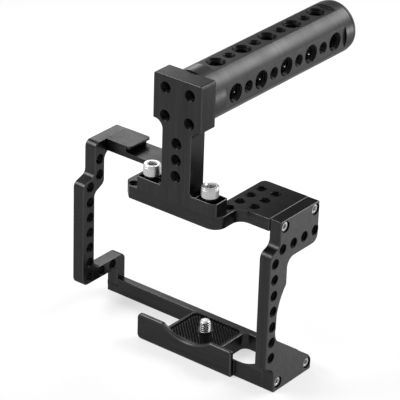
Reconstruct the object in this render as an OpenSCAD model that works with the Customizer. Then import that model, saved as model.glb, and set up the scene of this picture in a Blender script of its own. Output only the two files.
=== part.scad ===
// Camera cage with a top handle: a milled frame round a mirrorless camera,
// a bolted handle bracket and a flat-sided tubular grip.
// X runs along the cage, Y runs from the lens side to the back, Z runs up.
// The origin is on the underside, midway between the side plates.

/* [Cage] */
// Overall width over the two side plates
cage_w = 150; // [140:1:170]
// Overall height from the floor to the top face
cage_h = 111.1; // [106:0.1:125]
// Depth of the frame at its four corners
cage_d = 36.4; // [34:0.2:44]
// Thickness of a side plate
side_t = 8; // [6:0.5:10]
// Thickness of the top plate
top_t = 8; // [7:0.5:10]
// Thickness of the base
base_t = 10.6; // [9:0.1:13]

/* [Right side plate] */
// How far its upright stands in front of the corners
right_reach = 8.5; // [5:0.5:12]
// Width of its upright under the top corner
right_limb_w = 16.3; // [14:0.1:19]
// Width of its upright at the waist
right_waist_w = 7.9; // [7.2:0.1:10]
// Depth of its top corner block, measured down from the top
right_head_h = 25.9; // [23:0.1:30]
// Radius of the hollow behind the upright
right_hollow_r = 38.2; // [30:0.1:50]
// Height of the waist
right_waist_z = 45; // [41:0.5:50]
// Slope of the brace down to the rear corner
right_brace_slope = 36; // [30:1:40]
// Height of the rear corner under the brace
right_toe_h = 8.6; // [7:0.1:10]

/* [Left side plate] */
// How far its lower upright stands in front of the corners
left_reach = 3.3; // [1:0.1:6]
// Width of its lower upright
left_limb_w = 10.3; // [9:0.1:13]
// How far its upper upright stands behind the front corners
left_inset = 7; // [5:0.1:9]
// Width of its upper upright
left_neck_w = 8.7; // [8:0.1:11]
// Height of the underside of the foot arm
left_arm_z = 18.3; // [16:0.1:22]
// Thickness of the foot arm
left_arm_t = 8.3; // [8:0.1:11]
// Depth of the foot on the floor
left_foot_d = 7; // [6:0.1:9]

/* [Top plate] */
// Left edge of the handle seat, from the middle of the cage
nose_x0 = -23.8; // [-28:0.1:-22]
// Right edge of the handle seat, from the middle of the cage
nose_x1 = 46.3; // [45:0.1:47]
// How far the handle seat stands in front of the corners
nose_reach = 21.2; // [19:0.1:26]
// Depth of the handle seat
nose_d = 18.4; // [16:0.1:20]
// Left edge of the eyepiece notch
notch_x0 = -8; // [-12:0.5:-6]
// Right edge of the eyepiece notch
notch_x1 = 35.3; // [33:0.1:36]
// Thickness of the bridge on the left
bridge_t = 3.3; // [2.5:0.1:4.5]
// Depth of the bridge
bridge_d = 19; // [17:0.5:22]
// Width of the raised head at the left end
head_w = 15; // [13:0.5:18]
// Overhang of the lip on the raised head
head_lip_w = 3; // [2:0.1:4]
// Thickness of that lip
head_lip_t = 1.8; // [1.4:0.1:2.4]

/* [Base] */
// Depth of the rear rail
rail_d = 7; // [6.4:0.1:9]
// Chamfer along the top rear edge of the base
base_chamfer = 2.2; // [0.6:0.1:2.4]
// Position of the camera screw, from the middle of the cage
stud_x = 12.3; // [8:0.1:16]
// Position of the camera screw, from mid depth
stud_y = -2.5; // [-4:0.1:0]
// Width of the camera platform
platform_w = 38.6; // [36:0.1:42]
// Width of the front lip
lip_w = 70.4; // [64:0.1:74]
// Height of the front lip
lip_h = 16.9; // [14:0.1:20]
// How far the front lip stands in front of the corners
lip_reach = 3.3; // [3:0.1:4.5]
// Thickness of the front lip
lip_t = 2.6; // [2:0.1:2.9]
// Radius of the hollow in the lip that clears the lens
relief_r = 27; // [22:0.5:34]
// Right end of the floor window, from the middle of the cage
window_x1 = 58.6; // [54:0.1:60]
// Thickness of the wall in front of the floor window
window_wall = 1.2; // [1:0.1:2.5]

/* [Rubber pad] */
// Width of the pad
pad_w = 34.7; // [30:0.1:35]
// Depth of the pad
pad_d = 28.2; // [24:0.1:28.6]
// Thickness of the pad
pad_t = 1.8; // [1.4:0.1:2.4]
// Height of the pad above the platform
pad_proud = 0.8; // [0.4:0.1:1]

/* [Camera screw] */
// Diameter of the camera screw, a quarter inch
stud_d = 6.35; // [5:0.05:6.4]
// Height of the camera screw above the pad
stud_h = 6.4; // [4:0.1:8]
// Diameter of its head
stud_head_d = 14; // [11:0.5:16]
// Thickness of its head
stud_head_t = 4.4; // [3:0.1:4.6]

/* [Accessory holes] */
// Diameter of a tapped hole for a quarter inch screw
tap_d = 5.6; // [5:0.1:6]
// Diameter of the countersunk mouth of such a hole
tap_mouth_d = 6.6; // [6.2:0.1:6.8]
// Distance between neighbouring holes
tap_pitch = 10.2; // [9.8:0.1:10.4]

/* [Corner screws] */
// Diameter of the screws that hold the side plates
corner_screw_d = 3; // [2.5:0.1:3.4]
// Length of such a screw under its head
corner_screw_l = 12; // [9:0.5:14]
// Diameter of its socket head
corner_head_d = 6; // [5:0.1:6.2]
// Thickness of its socket head
corner_head_t = 3; // [2.4:0.1:3.2]

/* [Handle bracket] */
// Middle of the handle, from the middle of the cage
handle_x = 15.7; // [14:0.1:16.5]
// Thickness of the bracket, front to back
bracket_t = 12.6; // [11.5:0.1:14]
// Width of the foot
foot_w = 56.2; // [54:0.1:58]
// Thickness of the foot
foot_t = 8.2; // [7:0.1:10]
// Width of the post
post_w = 20.6; // [18:0.1:22]
// Height of the post above the foot
post_h = 40.4; // [36:0.1:48]
// Width of the head block
block_w = 34.1; // [30:0.1:37]
// Height of the head block
block_h = 28.2; // [26:0.1:32]
// Rounding under the shoulders of the head block
shoulder_r = 5.5; // [3:0.5:6.5]
// Distance between the holes in the head block
block_pitch = 17.1; // [14:0.1:18]

/* [Handle screws] */
// Distance of a handle screw from the end of the foot
handle_screw_inset = 7.3; // [6.8:0.1:7.8]
// Diameter of a handle screw
handle_screw_d = 6; // [5:0.1:6.3]
// Diameter of its socket head
handle_head_d = 10.3; // [9:0.1:10.4]
// Thickness of its socket head
handle_head_t = 6.3; // [5:0.1:8]
// Diameter of the collar under the head
collar_d = 7.6; // [7:0.1:7.8]
// How far the collar stands above the foot
collar_proud = 1.9; // [1:0.1:3]
// Depth of the pockets in the foot
pocket_depth = 3.2; // [2:0.1:4.5]

/* [Grip] */
// Length of the grip behind the head block
grip_l = 136.8; // [100:0.1:160]
// Diameter of the round ends
grip_d = 32.6; // [31.6:0.1:34]
// Distance across the flats
grip_flat = 29.4; // [29:0.1:30.4]
// Diameter of the bore
grip_bore_d = 22; // [20:0.5:23]
// Length of the round end beside the head block
grip_collar_l = 11; // [9:0.5:14]
// Distance between neighbouring holes in the grip
grip_pitch = 11.93; // [11.5:0.01:14]
// Diameter of the large holes
grip_large_d = 9.8; // [8:0.1:10]
// Diameter of the mouth of the large holes
grip_large_mouth_d = 11.6; // [10.2:0.1:11.8]
// Diameter of the small holes
grip_small_d = 5.8; // [5:0.1:6.2]
// Diameter of the mouth of the small holes
grip_small_mouth_d = 7.6; // [6.4:0.1:7.8]

/* [Hidden] */

// Fineness of round faces, of rounded corners and of long arcs
$fn = 48;
corner_steps = 8;
arc_steps = 10;

// Angles, and the ratio of a hexagon's corner radius to its width over flats
quarter_turn = 90;
half_turn = 180;
hex_sides = 6;
hex_share = 1 / (2 * cos(half_turn / hex_sides));

// Clearances and the overrun of cuts
cut = 1;
thread_fit = 0.02;
running_fit = 0.1;
bolt_clearance = 0.4;
seat_fit = 0.1;

// Levels and edges of the cage
front_y = -cage_d / 2;
rear_y = cage_d / 2;
inner_x = cage_w / 2 - side_t;
top_z0 = cage_h - top_t;

// Right side plate
right_front_y = front_y - right_reach;
right_step_drop = 15.7;
right_step_slope = 20;
right_step_r = 5;
right_heel_z = 19.4;
right_heel_slope = 30;
right_heel_r = 7;
right_inner_r = 6;
right_head_r = 5;
right_hollow_end_r = 10;
right_toe_r = 7;
edge_r = 0.8;
right_step_z = cage_h - right_step_drop;
right_limb_z1 = right_step_z - right_reach * tan(right_step_slope);
right_hole_inset = 4.5;
right_hole_z0 = 25.2;
right_hole_count = 1 + floor((right_limb_z1 - right_hole_z0) / tap_pitch);
right_row_z = 17.8;
right_row_shift = 0.4;
right_row_count = 4;
scoop_depth = 1.2;
scoop_z0 = 12;
scoop_h = 22;
scoop_y0_low = 10;
scoop_y0_high = 3.8;

// Left side plate
left_front_y = front_y - left_reach;
left_neck_y = front_y + left_inset;
left_nose_r = 4;
left_step_drop = 21.1;
left_step_fall = 3.3;
left_step_high_z = cage_h - left_step_drop;
left_step_low_z = left_step_high_z - left_step_fall;
left_step_r = 4;
left_back_drop = 7.6;
left_back_fall = 4.2;
left_back_high_z = left_step_high_z - left_back_drop;
left_back_low_z = left_back_high_z - left_back_fall;
left_back_r = 4;
left_corner_r = 4.5;
left_arm_r = 6;
left_foot_r = 1.5;
left_hole_inset = 6.3;
left_hole_z0 = 22.6;
left_hole_count = 1 + floor((left_step_low_z - left_hole_z0) / tap_pitch);
left_arm_hole_y = 6.2;
left_neck_hole_count = 2;
left_neck_hole_drop = 0.7;
left_neck_hole_z0 = left_step_high_z - left_neck_hole_drop;

// Top plate
nose_y = front_y - nose_reach;
wing_proud = 0.7;
wing_y = front_y - wing_proud;
nose_chamfer = 6.1;
nose_chamfer_r = 2;
nose_corner_r = 7.5;
nose_inner_r = 6;
notch_r = 3;
notch_corner_r = 3.5;
bridge_r = 5;
bridge_y0 = rear_y - bridge_d;
bridge_root_l = 12;
head_lip_r = 1.2;
top_hole_share = 0.1924;
top_hole_x0 = notch_x1 + top_hole_share * (inner_x - notch_x1);
top_hole_y0 = 7.8;
top_row_counts = [4, 3];
nose_hole_inset_x = 6.4;
nose_hole_inset_y = 4.5;

// Base
platform_x0 = stud_x - platform_w / 2;
platform_x1 = stud_x + platform_w / 2;
lip_mid_x = 10.8;
lip_y = front_y - lip_reach;
lip_corner_r = 3;
lip_blend_r = 4;
window_r = 8.5;
window_left_r = 4;
base_step_r = 1.2;
pad_x0 = stud_x - pad_w / 2;
pad_front_gap = 0.73;
pad_y0 = front_y + pad_front_gap;
pad_r = 3;
pad_seat_t = pad_t - pad_proud;
pad_seat_fit = 0.05;
pad_hole_d = 10;

// Camera screw
stud_hole_d = stud_d + 2 * running_fit;
stud_head_gap = 0.5;
stud_pocket_d = stud_head_d + 2 * stud_head_gap;
stud_pocket_depth = 5;
stud_tip = 0.6;
stud_slot_w = 1.8;
stud_slot_depth = 2;
clip_d = 8.6;
clip_t = 0.7;
clip_gap = 0.05;

// Corner screws
corner_screw_pitch = 28.4;
corner_screw_shift = 0.25;
corner_front_y = corner_screw_shift - corner_screw_pitch / 2;
corner_back_y = corner_screw_shift + corner_screw_pitch / 2;
corner_left_y = 3.4;
corner_rail_y = rear_y - rail_d / 2;
corner_screw_rise = 3.7;
corner_screw_top_z = top_z0 + corner_screw_rise;
corner_screw_base_z = 5.4;
corner_pocket_d = 6.9;
corner_pocket_depth = 3.8;
corner_key_w = 2.9;
corner_key_depth = 1.6;
corner_tap_spare = 1.2;

// Handle bracket
foot_y1 = nose_y + bracket_t;
foot_z = cage_h;
post_z = foot_z + foot_t;
block_z = post_z + post_h;
block_z1 = block_z + block_h;
foot_corner_r = 1.5;
pocket_rim = 1.1;
pocket_land = 0.9;
pocket_r = 0.8;
pocket_corner_r = 3;
post_foot_r = 1;
block_bevel = 1.6;
post_hole_count = 3;
post_hole_z = 8.6;
block_hole_z = 3.4;
block_hole_depth = 9;
bracket_mouth_d = 7.2;

// Handle screws and their collars
handle_screw_span = foot_w - 2 * handle_screw_inset;
handle_screw_setback = 5.2;
handle_screw_y = nose_y + handle_screw_setback;
handle_screw_tip = 1;
handle_head_edge = 0.6;
handle_key_w = 5;
handle_key_depth = 3;
handle_head_z = post_z + collar_proud;

// Grip
grip_drop = 15.5;
grip_z = block_z1 - grip_drop;
grip_y0 = foot_y1;
grip_y1 = grip_y0 + grip_l;
grip_end_wall = 6;
grip_first_y = 21.2;
grip_hole_count = 9;
grip_edge = 0.8;
cap_t = 2.4;
cap_spigot_l = 6;
cap_inset = 0.4;
cap_d = grip_d - 2 * cap_inset;
cap_edge = 0.8;
grip_flat_y0 = grip_y0 + grip_collar_l;
grip_end_l = 8;
grip_flat_y1 = grip_y1 - cap_t - grip_end_l;
grip_bolt_d = 8;
grip_bolt_head_d = 13;
grip_bolt_head_t = 7;
grip_bolt_reach = 9;
grip_bolt_spare = 1;
grip_bolt_key_w = 6;
grip_bolt_key_depth = 4;
grip_washer_d = 16;
grip_washer_t = 1.6;

// One corner of an outline, rounded by an arc of radius b[2]
function along(a, b) = (b - a) / norm(b - a);
function flat2(p) = [p[0], p[1]];
function corner(a, b, c) =
    let (u = along(flat2(b), flat2(a)), v = along(flat2(b), flat2(c)),
         half = acos(u * v) / 2, r = b[2],
         mid = flat2(b) + (u + v) / norm(u + v) * r / sin(half),
         p = flat2(b) + u * r / tan(half) - mid,
         q = flat2(b) + v * r / tan(half) - mid,
         sweep = half_turn - 2 * half)
    [for (i = [0 : corner_steps])
        mid + (p * sin(sweep * (1 - i / corner_steps))
               + q * sin(sweep * i / corner_steps)) / sin(sweep)];

// An outline from points [x, y, corner radius]
function outline(points) =
    let (n = len(points))
    [for (k = [0 : n - 1])
        let (b = points[k])
        each b[2] > 0
            ? corner(points[(k + n - 1) % n], b, points[(k + 1) % n])
            : [flat2(b)]];

module plate_x(points, x, t) {
    translate([x, 0, 0])
        rotate([90, 0, 90])
            linear_extrude(height = t)
                polygon(outline(points));
}

module plate_y(points, y, t) {
    translate([0, y + t, 0])
        rotate([90, 0, 0])
            linear_extrude(height = t)
                polygon(outline(points));
}

module plate_z(points, z, t) {
    translate([0, 0, z])
        linear_extrude(height = t)
            polygon(outline(points));
}

// A round bar along Z, X or Y from the origin
module rod(d, l) {
    cylinder(h = l, r = d / 2);
}

module rod_x(d, l) {
    rotate([0, 90, 0])
        rod(d, l);
}

module rod_y(d, l) {
    rotate([-90, 0, 0])
        rod(d, l);
}

// The space of a through hole along Z with a countersink at both mouths
module through_hole(d, mouth_d, l) {
    sink = (mouth_d - d) / 2;
    translate([0, 0, -cut])
        rod(d, l + 2 * cut);
    cylinder(h = sink, r1 = mouth_d / 2, r2 = d / 2);
    translate([0, 0, -cut])
        rod(mouth_d, cut);
    translate([0, 0, l - sink])
        cylinder(h = sink, r1 = d / 2, r2 = mouth_d / 2);
    translate([0, 0, l])
        rod(mouth_d, cut);
}

// The space of a blind hole along Z, open and countersunk at its lower end
module blind_hole(d, mouth_d, l) {
    sink = (mouth_d - d) / 2;
    translate([0, 0, -cut])
        rod(d, l + cut);
    cylinder(h = sink, r1 = mouth_d / 2, r2 = d / 2);
    translate([0, 0, -cut])
        rod(mouth_d, cut);
}

module side_hole(x, y, z) {
    translate([x, y, z])
        rotate([0, 90, 0])
            through_hole(tap_d, tap_mouth_d, side_t);
}

// The space that a corner screw takes in a side plate, its head outwards along X
module corner_pocket(y, z) {
    translate([inner_x - cut, y, z])
        rod_x(corner_screw_d + bolt_clearance, side_t + 2 * cut);
    translate([cage_w / 2 - corner_pocket_depth, y, z])
        rod_x(corner_pocket_d, corner_pocket_depth + cut);
}

// The tapped hole for a corner screw in the piece between the plates
module corner_tap(y, z) {
    depth = corner_screw_l - (side_t - corner_pocket_depth) + corner_tap_spare;
    translate([inner_x - depth, y, z])
        rod_x(corner_screw_d + 2 * thread_fit, depth + cut);
}

module corner_screw(y, z) {
    seat_x = cage_w / 2 - corner_pocket_depth;
    color("silver")
        difference() {
            union() {
                translate([seat_x - corner_screw_l, y, z])
                    rod_x(corner_screw_d, corner_screw_l);
                translate([seat_x, y, z])
                    rod_x(corner_head_d, corner_head_t);
            }
            translate([seat_x + corner_head_t - corner_key_depth, y, z])
                rotate([0, 90, 0])
                    cylinder(h = corner_key_depth + cut, r = corner_key_w / 2, $fn = hex_sides);
        }
}

module left_corner_screw(y, z) {
    mirror([1, 0, 0])
        corner_screw(y, z);
}

// The floor window right of the platform
module floor_window() {
    plate_z([
        [platform_x1, front_y + window_wall, window_left_r],
        [window_x1, front_y + window_wall, window_r],
        [window_x1, rear_y - rail_d, window_left_r],
        [platform_x1, rear_y - rail_d, window_left_r],
    ], -cut, base_t + 2 * cut);
}

// The front lip, dipped by an arc where the lens passes over it
module front_lip() {
    x0 = lip_mid_x - lip_w / 2;
    x1 = lip_mid_x + lip_w / 2;
    dip = lip_h - base_t;
    half = acos((relief_r - dip) / relief_r);
    reach = relief_r * sin(half);
    arc = [for (i = [1 : arc_steps - 1])
        let (a = half * (1 - 2 * i / arc_steps) - quarter_turn)
        [stud_x + relief_r * cos(a), base_t + relief_r + relief_r * sin(a), 0]];
    plate_y(concat(
        [[x0, 0, lip_corner_r], [x1, 0, 0], [x1, lip_h, lip_corner_r / 2],
         [stud_x + reach, lip_h, lip_blend_r]],
        arc,
        [[stud_x - reach, lip_h, lip_blend_r], [x0, lip_h, lip_corner_r]]
    ), lip_y, lip_t);
}

module base_plate() {
    color("#242527")
        difference() {
            union() {
                // Rear rail with its top rear edge chamfered
                plate_x([
                    [rear_y - rail_d, 0, 0],
                    [rear_y, 0, 0],
                    [rear_y, base_t - base_chamfer, 0],
                    [rear_y - base_chamfer, base_t, 0],
                    [rear_y - rail_d, base_t, 0],
                ], -inner_x, 2 * inner_x);
                // Platform and the floor beside it
                plate_z([
                    [platform_x0, lip_y + lip_t, 0],
                    [lip_mid_x + lip_w / 2, lip_y + lip_t, 0],
                    [lip_mid_x + lip_w / 2, front_y, base_step_r / 2],
                    [inner_x, front_y, 0],
                    [inner_x, rear_y - base_chamfer, 0],
                    [platform_x0, rear_y - base_chamfer, 0],
                ], 0, base_t);
                front_lip();
            }
            floor_window();
            // Seat of the pad
            pad_shape(base_t - pad_seat_t, pad_seat_t + cut, pad_seat_fit);
            // Hole and pocket of the camera screw
            translate([stud_x, stud_y, -cut])
                rod(stud_hole_d, base_t + 2 * cut);
            translate([stud_x, stud_y, -cut])
                rod(stud_pocket_d, stud_pocket_depth + cut);
            // Tapped holes in both ends
            corner_tap(corner_front_y, corner_screw_base_z);
            corner_tap(corner_back_y, corner_screw_base_z);
            mirror([1, 0, 0])
                corner_tap(corner_rail_y, corner_screw_base_z);
        }
}

module pad_shape(z, t, grow) {
    plate_z([
        [pad_x0 - grow, pad_y0 - grow, pad_r + grow],
        [pad_x0 + pad_w + grow, pad_y0 - grow, pad_r + grow],
        [pad_x0 + pad_w + grow, pad_y0 + pad_d + grow, pad_r + grow],
        [pad_x0 - grow, pad_y0 + pad_d + grow, pad_r + grow],
    ], z, t);
}

module base_pad() {
    color("#1b1b1b")
        difference() {
            pad_shape(base_t - pad_seat_t, pad_t, 0);
            translate([stud_x, stud_y, base_t - pad_seat_t - cut])
                rod(pad_hole_d, pad_t + 2 * cut);
        }
}

// Quarter inch screw held in the base, its slotted head in the underside
module camera_screw() {
    head_z = stud_pocket_depth - stud_head_t;
    tip_z = base_t + pad_proud + stud_h;
    color("silver")
        difference() {
            union() {
                translate([stud_x, stud_y, head_z])
                    rod(stud_head_d, stud_head_t);
                translate([stud_x, stud_y, stud_pocket_depth])
                    rod(stud_d, tip_z - stud_tip - stud_pocket_depth);
                translate([stud_x, stud_y, tip_z - stud_tip])
                    cylinder(h = stud_tip, r1 = stud_d / 2, r2 = stud_d / 2 - stud_tip);
            }
            translate([stud_x - stud_head_d, stud_y - stud_slot_w / 2, head_z - cut])
                cube([2 * stud_head_d, stud_slot_w, stud_slot_depth + cut]);
        }
}

// Ring that keeps the camera screw in the base
module camera_screw_clip() {
    color("#3a3a3a")
        translate([stud_x, stud_y, base_t - pad_seat_t + clip_gap])
            difference() {
                rod(clip_d, clip_t);
                translate([0, 0, -cut])
                    rod(stud_d + 2 * thread_fit, clip_t + 2 * cut);
            }
}

module left_side_plate() {
    neck_back_y = left_neck_y + left_neck_w;
    limb_back_y = left_front_y + left_limb_w;
    hole_y = left_front_y + left_hole_inset;
    color("#2c2d2f")
        difference() {
            plate_x([
                [rear_y, 0, 0],
                [rear_y, left_arm_z + left_arm_t, left_corner_r],
                [limb_back_y, left_arm_z + left_arm_t, left_arm_r],
                [limb_back_y, left_back_low_z, left_back_r],
                [neck_back_y, left_back_high_z, left_back_r],
                [neck_back_y, top_z0, left_arm_r],
                [rear_y, top_z0, 0],
                [rear_y, cage_h, edge_r],
                [left_neck_y, cage_h, left_nose_r],
                [left_neck_y, left_step_high_z, left_step_r],
                [left_front_y, left_step_low_z, left_step_r],
                [left_front_y, left_arm_z, left_corner_r],
                [rear_y - left_foot_d, left_arm_z, left_foot_r],
                [rear_y - left_foot_d, 0, 0],
            ], -cage_w / 2, side_t);
            for (i = [0 : left_hole_count - 1])
                side_hole(-cage_w / 2, hole_y, left_hole_z0 + i * tap_pitch);
            for (i = [0 : left_neck_hole_count - 1])
                side_hole(-cage_w / 2, left_neck_y + left_neck_w / 2,
                          left_neck_hole_z0 + i * tap_pitch);
            for (i = [0 : 1])
                side_hole(-cage_w / 2, left_arm_hole_y - i * tap_pitch, left_hole_z0);
            mirror([1, 0, 0]) {
                corner_pocket(corner_left_y, corner_screw_top_z);
                corner_pocket(corner_back_y, corner_screw_top_z);
                corner_pocket(corner_rail_y, corner_screw_base_z);
            }
        }
}

module right_side_plate() {
    limb_back_y = right_front_y + right_limb_w;
    waist_y = right_front_y + right_waist_w;
    hollow_y = waist_y + right_hollow_r;
    brace_rise = tan(right_brace_slope);
    brace_top_z = right_toe_h + (rear_y - waist_y) * brace_rise;
    hollow_sweep = acos((hollow_y - limb_back_y) / right_hollow_r);
    head_z = cage_h - right_head_h;
    heel_z = right_heel_z - right_reach * tan(right_heel_slope);
    hollow = [for (i = [0 : arc_steps])
        let (a = half_turn - hollow_sweep * i / arc_steps)
        [hollow_y + right_hollow_r * cos(a),
         right_waist_z + right_hollow_r * sin(a), 0]];
    color("#3a3b3d")
        difference() {
            plate_x(concat(
                [[rear_y, 0, 0],
                 [rear_y, right_toe_h, right_toe_r],
                 [waist_y, brace_top_z, right_hollow_end_r]],
                hollow,
                [[limb_back_y, head_z, right_inner_r],
                 [rear_y, head_z, right_head_r],
                 [rear_y, cage_h, edge_r],
                 [front_y, cage_h, edge_r],
                 [front_y, right_step_z, right_step_r],
                 [right_front_y, right_limb_z1, right_step_r],
                 [right_front_y, right_heel_z, edge_r],
                 [front_y, heel_z, right_heel_r],
                 [front_y, 0, 0]]
            ), inner_x, side_t);
            for (i = [0 : right_hole_count - 1])
                side_hole(inner_x, right_front_y + right_hole_inset,
                          right_hole_z0 + i * tap_pitch);
            for (i = [0 : right_row_count - 1])
                side_hole(inner_x, (i - (right_row_count - 1) / 2) * tap_pitch - right_row_shift,
                          cage_h - right_row_z);
            corner_pocket(corner_front_y, corner_screw_top_z);
            corner_pocket(corner_back_y, corner_screw_top_z);
            corner_pocket(corner_front_y, corner_screw_base_z);
            corner_pocket(corner_back_y, corner_screw_base_z);
            thumb_scoop();
        }
}

// Shallow hollow in the outer face of the brace, deeper towards the top
module thumb_scoop() {
    intersection() {
        plate_x([
            [front_y + scoop_y0_low, scoop_z0, 0],
            [rear_y + cut, scoop_z0, 0],
            [rear_y + cut, scoop_z0 + scoop_h, 0],
            [front_y + scoop_y0_high, scoop_z0 + scoop_h, 0],
        ], cage_w / 2 - scoop_depth - cut, scoop_depth + 2 * cut);
        plate_y([
            [cage_w / 2, scoop_z0, 0],
            [cage_w / 2 + cut, scoop_z0, 0],
            [cage_w / 2 + cut, scoop_z0 + scoop_h, 0],
            [cage_w / 2 - scoop_depth, scoop_z0 + scoop_h, 0],
        ], front_y, cage_d + cut);
    }
}

// Full-height outline of the top plate: handle seat, right wing and left arm
module top_outline() {
    plate_z([
        [nose_x0, nose_y + nose_chamfer, nose_chamfer_r],
        [nose_x0 + nose_chamfer, nose_y, nose_chamfer_r],
        [nose_x1, nose_y, nose_corner_r],
        [nose_x1, wing_y, nose_inner_r],
        [inner_x, wing_y, 0],
        [inner_x, rear_y, 0],
        [notch_x1, rear_y, notch_corner_r],
        [notch_x1, nose_y + nose_d, notch_r],
        [notch_x0, nose_y + nose_d, notch_r],
        [notch_x0, rear_y, notch_corner_r / 2],
        [nose_x0, rear_y, edge_r],
    ], top_z0, top_t);
}

// Thin bridge to the left side plate with its raised and lipped head
module top_bridge() {
    plate_z([
        [-inner_x, bridge_y0, 0],
        [nose_x0, bridge_y0, bridge_r],
        [nose_x0, bridge_y0 - bridge_root_l, 0],
        [nose_x0 + edge_r, bridge_y0 - bridge_root_l, 0],
        [nose_x0 + edge_r, rear_y - edge_r, 0],
        [nose_x0, rear_y - edge_r, 0],
        [nose_x0, rear_y, 0],
        [-inner_x, rear_y, 0],
    ], top_z0, bridge_t);
    plate_z([
        [-inner_x, bridge_y0, 0],
        [-inner_x + head_w, bridge_y0, 0],
        [-inner_x + head_w, rear_y, 0],
        [-inner_x, rear_y, 0],
    ], top_z0, top_t);
    plate_z([
        [-inner_x + head_w - cut, bridge_y0, 0],
        [-inner_x + head_w + head_lip_w, bridge_y0, head_lip_r],
        [-inner_x + head_w + head_lip_w, rear_y, head_lip_r],
        [-inner_x + head_w - cut, rear_y, 0],
    ], cage_h - head_lip_t, head_lip_t);
}

module top_plate() {
    color("#2e2f31")
        difference() {
            union() {
                top_outline();
                top_bridge();
            }
            // Two rows of accessory holes in the right wing
            for (row = [0 : len(top_row_counts) - 1])
                for (i = [0 : top_row_counts[row] - 1])
                    translate([top_hole_x0 + row * tap_pitch, top_hole_y0 - i * tap_pitch, top_z0])
                        through_hole(tap_d, tap_mouth_d, top_t);
            // Accessory hole beside the handle foot
            translate([nose_x0 + nose_hole_inset_x, nose_y + nose_hole_inset_y, top_z0])
                through_hole(tap_d, tap_mouth_d, top_t);
            // Tapped holes for the handle screws
            for (side = [-1, 1])
                translate([handle_x + side * handle_screw_span / 2, handle_screw_y, top_z0 - cut])
                    rod(handle_screw_d + 2 * thread_fit, top_t + 2 * cut);
            corner_tap(corner_front_y, corner_screw_top_z);
            corner_tap(corner_back_y, corner_screw_top_z);
            mirror([1, 0, 0]) {
                corner_tap(corner_left_y, corner_screw_top_z);
                corner_tap(corner_back_y, corner_screw_top_z);
            }
        }
}

module left_top_screw_front() {
    left_corner_screw(corner_left_y, corner_screw_top_z);
}

module left_top_screw_rear() {
    left_corner_screw(corner_back_y, corner_screw_top_z);
}

module left_base_screw() {
    left_corner_screw(corner_rail_y, corner_screw_base_z);
}

module right_top_screw_front() {
    corner_screw(corner_front_y, corner_screw_top_z);
}

module right_top_screw_rear() {
    corner_screw(corner_back_y, corner_screw_top_z);
}

module right_base_screw_front() {
    corner_screw(corner_front_y, corner_screw_base_z);
}

module right_base_screw_rear() {
    corner_screw(corner_back_y, corner_screw_base_z);
}

// Outline of the bracket seen from the front: foot, post and head block
module bracket_outline() {
    foot_half = foot_w / 2;
    post_half = post_w / 2;
    block_half = block_w / 2;
    right = [
        [foot_half, foot_z, 0],
        [foot_half, post_z, 0],
        [post_half, post_z, post_foot_r],
        [post_half, block_z, shoulder_r],
        [block_half, block_z, 0],
        [block_half, block_z1, block_bevel],
    ];
    count = len(right);
    plate_y([for (i = [0 : 2 * count - 1])
        i < count
            ? [handle_x + right[i][0], right[i][1], right[i][2]]
            : [handle_x - right[2 * count - 1 - i][0],
               right[2 * count - 1 - i][1], right[2 * count - 1 - i][2]]
    ], nose_y, bracket_t);
}

// The foot seen from above: its right front corner follows the corner of the handle seat
module foot_corners() {
    intersection() {
        plate_z([
            [handle_x - foot_w / 2, nose_y, foot_corner_r],
            [handle_x + foot_w / 2, nose_y, 0],
            [handle_x + foot_w / 2, foot_y1, foot_corner_r],
            [handle_x - foot_w / 2, foot_y1, foot_corner_r],
        ], foot_z, block_z1 - foot_z);
        plate_z([
            [nose_x0, nose_y, 0],
            [nose_x1, nose_y, nose_corner_r],
            [nose_x1, foot_y1, 0],
            [nose_x0, foot_y1, 0],
        ], foot_z, block_z1 - foot_z);
    }
}

module foot_pocket(side) {
    x_near = handle_x + side * post_w / 2;
    x_far = handle_x + side * (foot_w / 2 - pocket_land);
    plate_z([
        [min(x_near, x_far), nose_y + pocket_rim, pocket_r],
        [max(x_near, x_far), nose_y + pocket_rim, side > 0 ? pocket_corner_r : pocket_r],
        [max(x_near, x_far), foot_y1 - pocket_rim, pocket_r],
        [min(x_near, x_far), foot_y1 - pocket_rim, pocket_r],
    ], post_z - pocket_depth, pocket_depth + cut);
}

module handle_bracket() {
    color("#2b2c2e")
        difference() {
            intersection() {
                bracket_outline();
                foot_corners();
            }
            for (side = [-1, 1]) {
                foot_pocket(side);
                translate([handle_x + side * handle_screw_span / 2, handle_screw_y, foot_z - cut])
                    rod(handle_screw_d + bolt_clearance, foot_t + 2 * cut);
            }
            // Through holes in the post
            for (i = [0 : post_hole_count - 1])
                translate([handle_x, nose_y, post_z + post_hole_z + i * tap_pitch])
                    rotate([-90, 0, 0])
                        through_hole(tap_d, bracket_mouth_d, bracket_t);
            // Blind holes in the head block
            for (side = [-1, 1])
                for (row = [0, 1])
                    translate([handle_x + side * block_pitch / 2, nose_y,
                               block_z + block_hole_z + row * block_pitch])
                        rotate([-90, 0, 0])
                            blind_hole(tap_d, bracket_mouth_d, block_hole_depth);
            // Tapped hole for the grip bolt, from behind
            translate([handle_x, foot_y1 - grip_bolt_reach - grip_bolt_spare, grip_z])
                rod_y(grip_bolt_d + 2 * thread_fit, grip_bolt_reach + grip_bolt_spare + cut);
        }
}

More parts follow.
